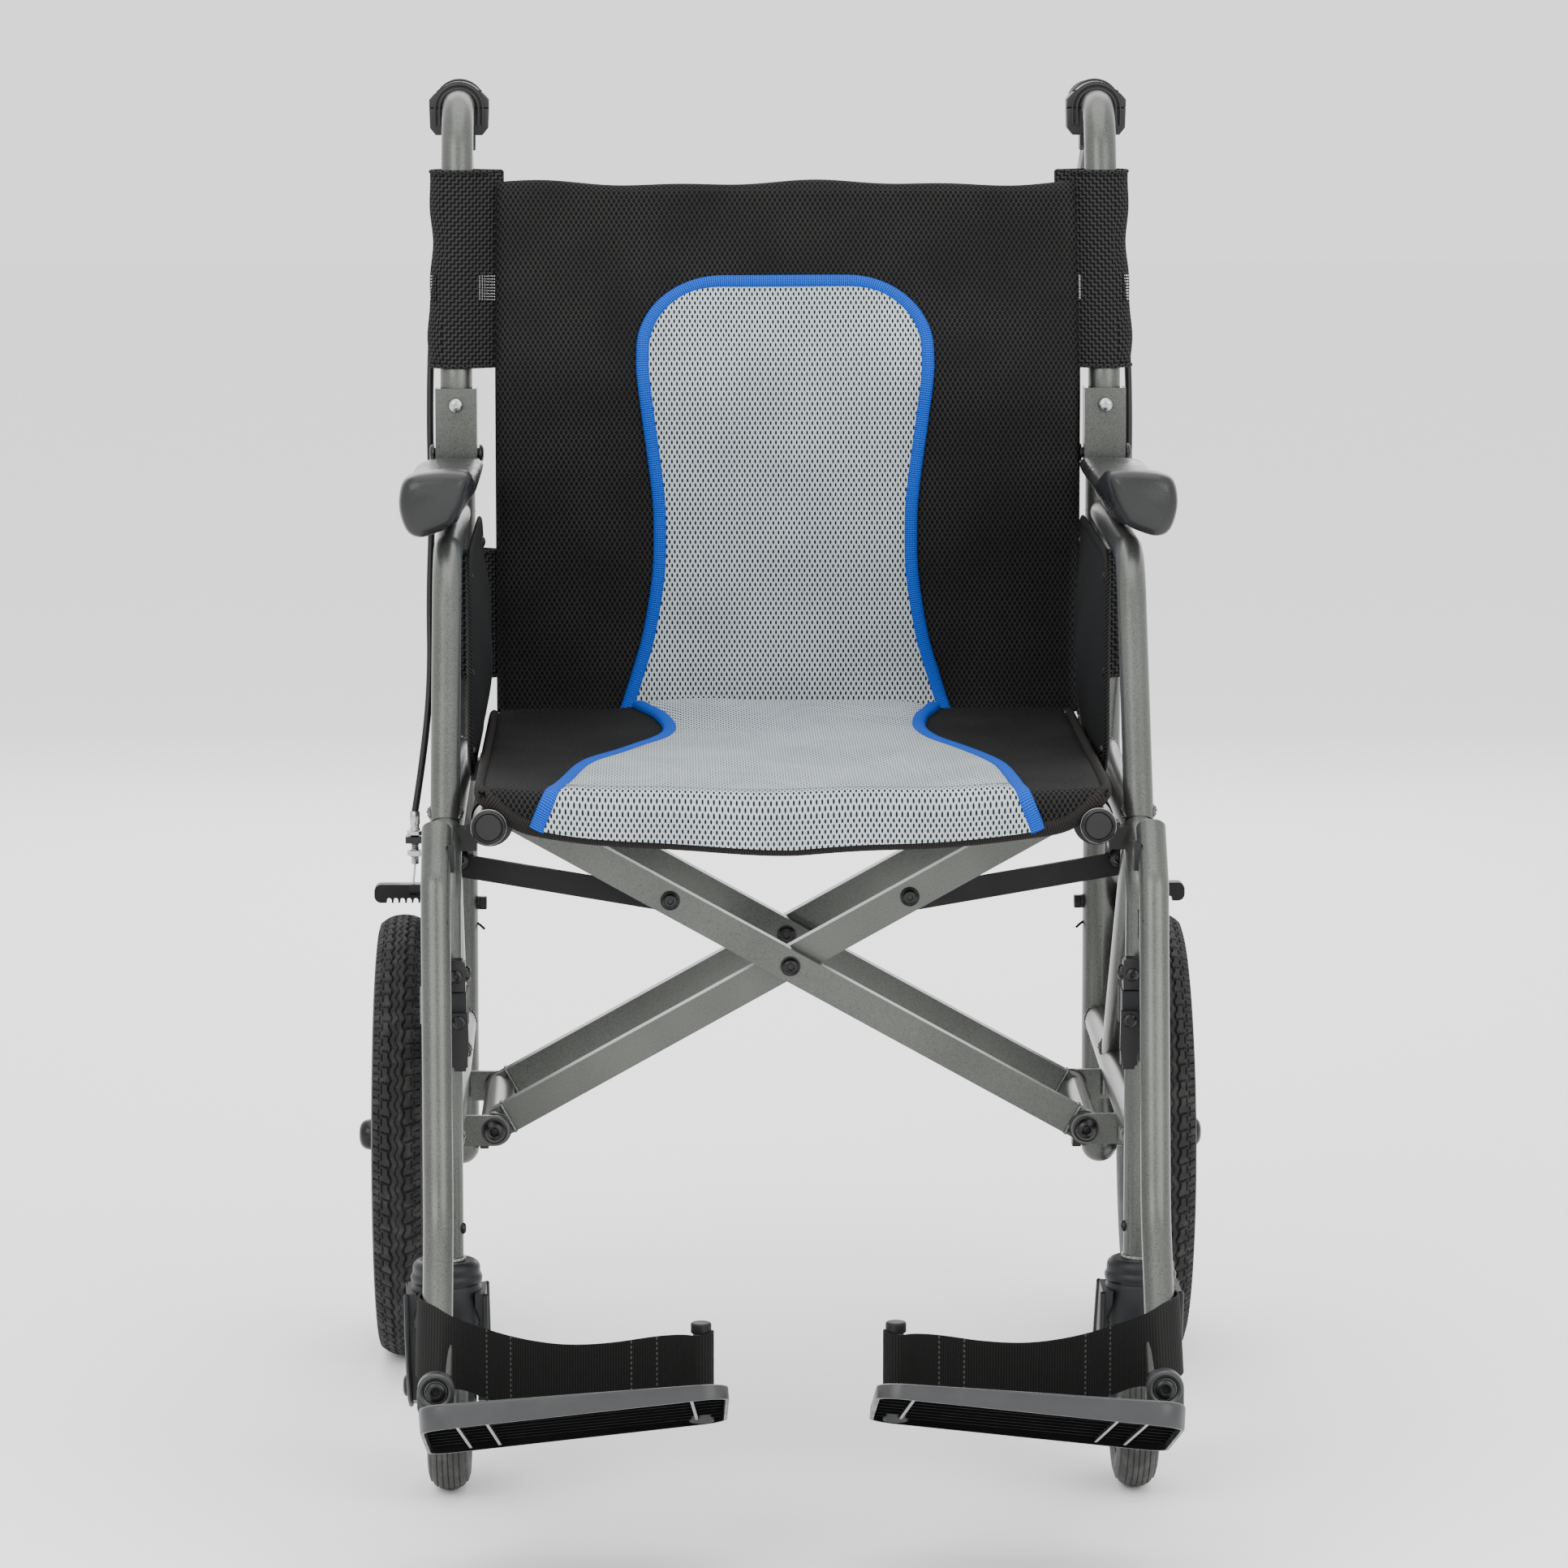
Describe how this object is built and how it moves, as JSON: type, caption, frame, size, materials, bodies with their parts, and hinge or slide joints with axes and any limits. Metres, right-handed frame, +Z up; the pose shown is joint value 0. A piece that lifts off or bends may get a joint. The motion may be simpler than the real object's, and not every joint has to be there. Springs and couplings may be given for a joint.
{
  "type": "transport wheelchair",
  "caption": "Folding transport wheelchair with cross-braced frame, mesh seat and back, fold-down push handles with brake levers, swing-away footrests and flip-up footplates.",
  "frame": {"origin": "on the floor, under the middle of the chair's bounding box", "axes": "+X to the sitter's left, +Y to the back, +Z up; the sitter faces -Y"},
  "size_m": [0.594, 0.9185, 0.8919],
  "materials": {
    "frame": "satin metallic paint",
    "black_plastic": "moulded",
    "black_steel": "blackened",
    "pad_plastic": "textured, semi-gloss",
    "skirt_fabric": "twill",
    "grip_rubber": "matt",
    "housing_plastic": "fine texture",
    "lever_black": "satin",
    "cable_jacket": "satin",
    "zinc": "zinc plated",
    "shoe_steel": "satin",
    "tyre": "matt rubber",
    "rim_plastic": "moulded",
    "fork_plastic": "moulded",
    "caster_tyre": "moulded",
    "saddle_plastic": "moulded",
    "latch_plastic": "moulded",
    "plate_plastic": "fine texture",
    "webbing": "woven",
    "link_steel": "satin",
    "mesh_black": "spacer mesh",
    "mesh_grey": "spacer mesh",
    "piping_blue": "ribbed binding",
    "sleeve_mesh": "open weave"
  },
  "bodies": {
    "right_side": {"right_rear_post": "frame", "right_front_post": "frame", "right_upper_rail": "frame", "right_lower_rail": "frame", "right_rail_saddles": "black_plastic", "right_side_bolts": "black_steel", "right_armrest_tube": "frame", "right_arm_pad": "pad_plastic", "right_skirt_guard": "skirt_fabric", "right_brake_cable": "cable_jacket", "right_cable_stop": "zinc", "back_lower": "mesh_black"},
    "right_back": {"right_cane": "frame", "right_cane_hinge": "frame", "right_grip": "grip_rubber", "right_brake_housing": "housing_plastic", "back_upper": "mesh_black"},
    "right_brake_lever": {"right_brake_lever": "lever_black"},
    "right_brake_shoe": {"right_brake_shoe": "shoe_steel"},
    "right_rear_wheel": {"right_rear_tyre": "tyre", "right_rear_rim": "rim_plastic"},
    "right_caster_fork": {"right_caster_fork": "fork_plastic"},
    "right_caster_wheel": {"right_caster_wheel": "caster_tyre"},
    "right_hanger": {"right_hanger_tube": "frame", "right_hanger_saddles": "saddle_plastic"},
    "right_latch": {"right_hanger_latch": "latch_plastic"},
    "right_footplate": {"right_footplate": "plate_plastic", "right_heel_strap": "webbing"},
    "right_link": {"right_link": "link_steel"},
    "left_side": {"left_rear_post": "frame", "left_front_post": "frame", "left_upper_rail": "frame", "left_lower_rail": "frame", "left_rail_saddles": "black_plastic", "left_side_bolts": "black_steel", "left_armrest_tube": "frame", "left_arm_pad": "pad_plastic", "left_skirt_guard": "skirt_fabric", "left_brake_cable": "cable_jacket", "left_cable_stop": "zinc"},
    "left_back": {"left_cane": "frame", "left_cane_hinge": "frame", "left_grip": "grip_rubber", "left_brake_housing": "housing_plastic"},
    "left_brake_lever": {"left_brake_lever": "lever_black"},
    "left_brake_shoe": {"left_brake_shoe": "shoe_steel"},
    "left_rear_wheel": {"left_rear_tyre": "tyre", "left_rear_rim": "rim_plastic"},
    "left_caster_fork": {"left_caster_fork": "fork_plastic"},
    "left_caster_wheel": {"left_caster_wheel": "caster_tyre"},
    "left_hanger": {"left_hanger_tube": "frame", "left_hanger_saddles": "saddle_plastic"},
    "left_latch": {"left_hanger_latch": "latch_plastic"},
    "left_footplate": {"left_footplate": "plate_plastic", "left_heel_strap": "webbing"},
    "left_link": {"left_link": "link_steel"},
    "brace_a": {"brace_a": "frame"},
    "brace_b": {"brace_b": "frame", "brace_bolts": "black_steel", "seat": "mesh_black"}
  },
  "joints": [
    {"name": "fold", "type": "hinge", "parent": "right_side", "child": "brace_b", "pos_m": [-0.1925, -0.00225, 0.224], "axis": [0, -1, 0], "range_deg": [0, 52], "deforming": ["seat", "back_upper", "back_lower"]},
    {"name": "brace_pivot", "type": "hinge", "parent": "brace_b", "child": "brace_a", "pos_m": [0, -0.00225, 0.331], "axis": [0, -1, 0], "range_deg": [-104, 0]},
    {"name": "left_side_pivot", "type": "hinge", "parent": "brace_a", "child": "left_side", "pos_m": [0.1925, -0.00225, 0.224], "axis": [0, -1, 0], "range_deg": [0, 52]},
    {"name": "right_link_pivot", "type": "hinge", "parent": "right_side", "child": "right_link", "pos_m": [-0.215, -0.04825, 0.3975], "axis": [0, -1, 0], "range_deg": [0, 81.79]},
    {"name": "right_back_fold", "type": "hinge", "parent": "right_side", "child": "right_back", "pos_m": [-0.225, 0.26425, 0.636], "axis": [-1, 0, 0], "range_deg": [0, 90], "deforming": ["right_brake_cable"]},
    {"name": "right_brake_lever_pivot", "type": "hinge", "parent": "right_back", "child": "right_brake_lever", "pos_m": [-0.219, 0.37325, 0.849], "axis": [1, 0, 0], "range_deg": [0, 18], "stiffness_Nm_per_rad": 1, "springref_deg": -20.05},
    {"name": "right_brake_shoe_pivot", "type": "hinge", "parent": "right_side", "child": "right_brake_shoe", "pos_m": [-0.243, 0.26425, 0.32], "axis": [-1, 0, 0], "range_deg": [0, 15]},
    {"name": "right_rear_wheel_spin", "type": "hinge", "parent": "right_side", "child": "right_rear_wheel", "pos_m": [-0.2646, 0.26425, 0.155], "axis": [1, 0, 0], "continuous": true},
    {"name": "right_caster_swivel", "type": "hinge", "parent": "right_side", "child": "right_caster_fork", "pos_m": [-0.221, -0.18575, 0.16], "axis": [0, 0, 1], "continuous": true},
    {"name": "right_caster_spin", "type": "hinge", "parent": "right_caster_fork", "child": "right_caster_wheel", "pos_m": [-0.221, -0.13575, 0.067], "axis": [1, 0, 0], "continuous": true},
    {"name": "right_hanger_swing", "type": "hinge", "parent": "right_side", "child": "right_hanger", "pos_m": [-0.221, -0.18575, 0.35], "axis": [0, 0, -1], "range_deg": [0, 90]},
    {"name": "right_latch_pivot", "type": "hinge", "parent": "right_hanger", "child": "right_latch", "pos_m": [-0.211, -0.21275, 0.318], "axis": [0, -1, 0], "range_deg": [0, 14], "stiffness_Nm_per_rad": 0.15, "springref_deg": -11.46},
    {"name": "right_footplate_flip", "type": "hinge", "parent": "right_hanger", "child": "right_footplate", "pos_m": [-0.221, -0.38675, 0.123], "axis": [0, -1, 0], "range_deg": [0, 90.05], "deforming": ["right_heel_strap"]},
    {"name": "left_link_pivot", "type": "hinge", "parent": "left_side", "child": "left_link", "pos_m": [0.215, -0.04825, 0.3975], "axis": [0, -1, 0], "range_deg": [-81.79, 0]},
    {"name": "left_back_fold", "type": "hinge", "parent": "left_side", "child": "left_back", "pos_m": [0.225, 0.26425, 0.636], "axis": [-1, 0, 0], "range_deg": [0, 90], "deforming": ["left_brake_cable"]},
    {"name": "left_brake_lever_pivot", "type": "hinge", "parent": "left_back", "child": "left_brake_lever", "pos_m": [0.219, 0.37325, 0.849], "axis": [1, 0, 0], "range_deg": [0, 18], "stiffness_Nm_per_rad": 1, "springref_deg": -20.05},
    {"name": "left_brake_shoe_pivot", "type": "hinge", "parent": "left_side", "child": "left_brake_shoe", "pos_m": [0.243, 0.26425, 0.32], "axis": [-1, 0, 0], "range_deg": [0, 15]},
    {"name": "left_rear_wheel_spin", "type": "hinge", "parent": "left_side", "child": "left_rear_wheel", "pos_m": [0.2646, 0.26425, 0.155], "axis": [1, 0, 0], "continuous": true},
    {"name": "left_caster_swivel", "type": "hinge", "parent": "left_side", "child": "left_caster_fork", "pos_m": [0.221, -0.18575, 0.16], "axis": [0, 0, 1], "continuous": true},
    {"name": "left_caster_spin", "type": "hinge", "parent": "left_caster_fork", "child": "left_caster_wheel", "pos_m": [0.221, -0.13575, 0.067], "axis": [1, 0, 0], "continuous": true},
    {"name": "left_hanger_swing", "type": "hinge", "parent": "left_side", "child": "left_hanger", "pos_m": [0.221, -0.18575, 0.35], "axis": [0, 0, 1], "range_deg": [0, 90]},
    {"name": "left_latch_pivot", "type": "hinge", "parent": "left_hanger", "child": "left_latch", "pos_m": [0.211, -0.21275, 0.318], "axis": [0, 1, 0], "range_deg": [0, 14], "stiffness_Nm_per_rad": 0.15, "springref_deg": -11.46},
    {"name": "left_footplate_flip", "type": "hinge", "parent": "left_hanger", "child": "left_footplate", "pos_m": [0.221, -0.38675, 0.123], "axis": [0, 1, 0], "range_deg": [0, 90.05], "deforming": ["left_heel_strap"]}
  ],
  "couplings": [
    {"joint": "brace_pivot", "follows": "fold", "ratio": -2},
    {"joint": "left_side_pivot", "follows": "fold", "ratio": 1},
    {"joint": "right_link_pivot", "follows": "fold", "ratio": 1.5727},
    {"joint": "right_brake_shoe_pivot", "follows": "right_brake_lever_pivot", "ratio": 0.8332},
    {"joint": "right_footplate_flip", "follows": "fold", "ratio": 1.7308},
    {"joint": "left_link_pivot", "follows": "fold", "ratio": -1.5727},
    {"joint": "left_brake_shoe_pivot", "follows": "left_brake_lever_pivot", "ratio": 0.8332},
    {"joint": "left_footplate_flip", "follows": "fold", "ratio": 1.7308},
    {"joint": "left_back_fold", "follows": "right_back_fold", "ratio": 1}
  ]
}
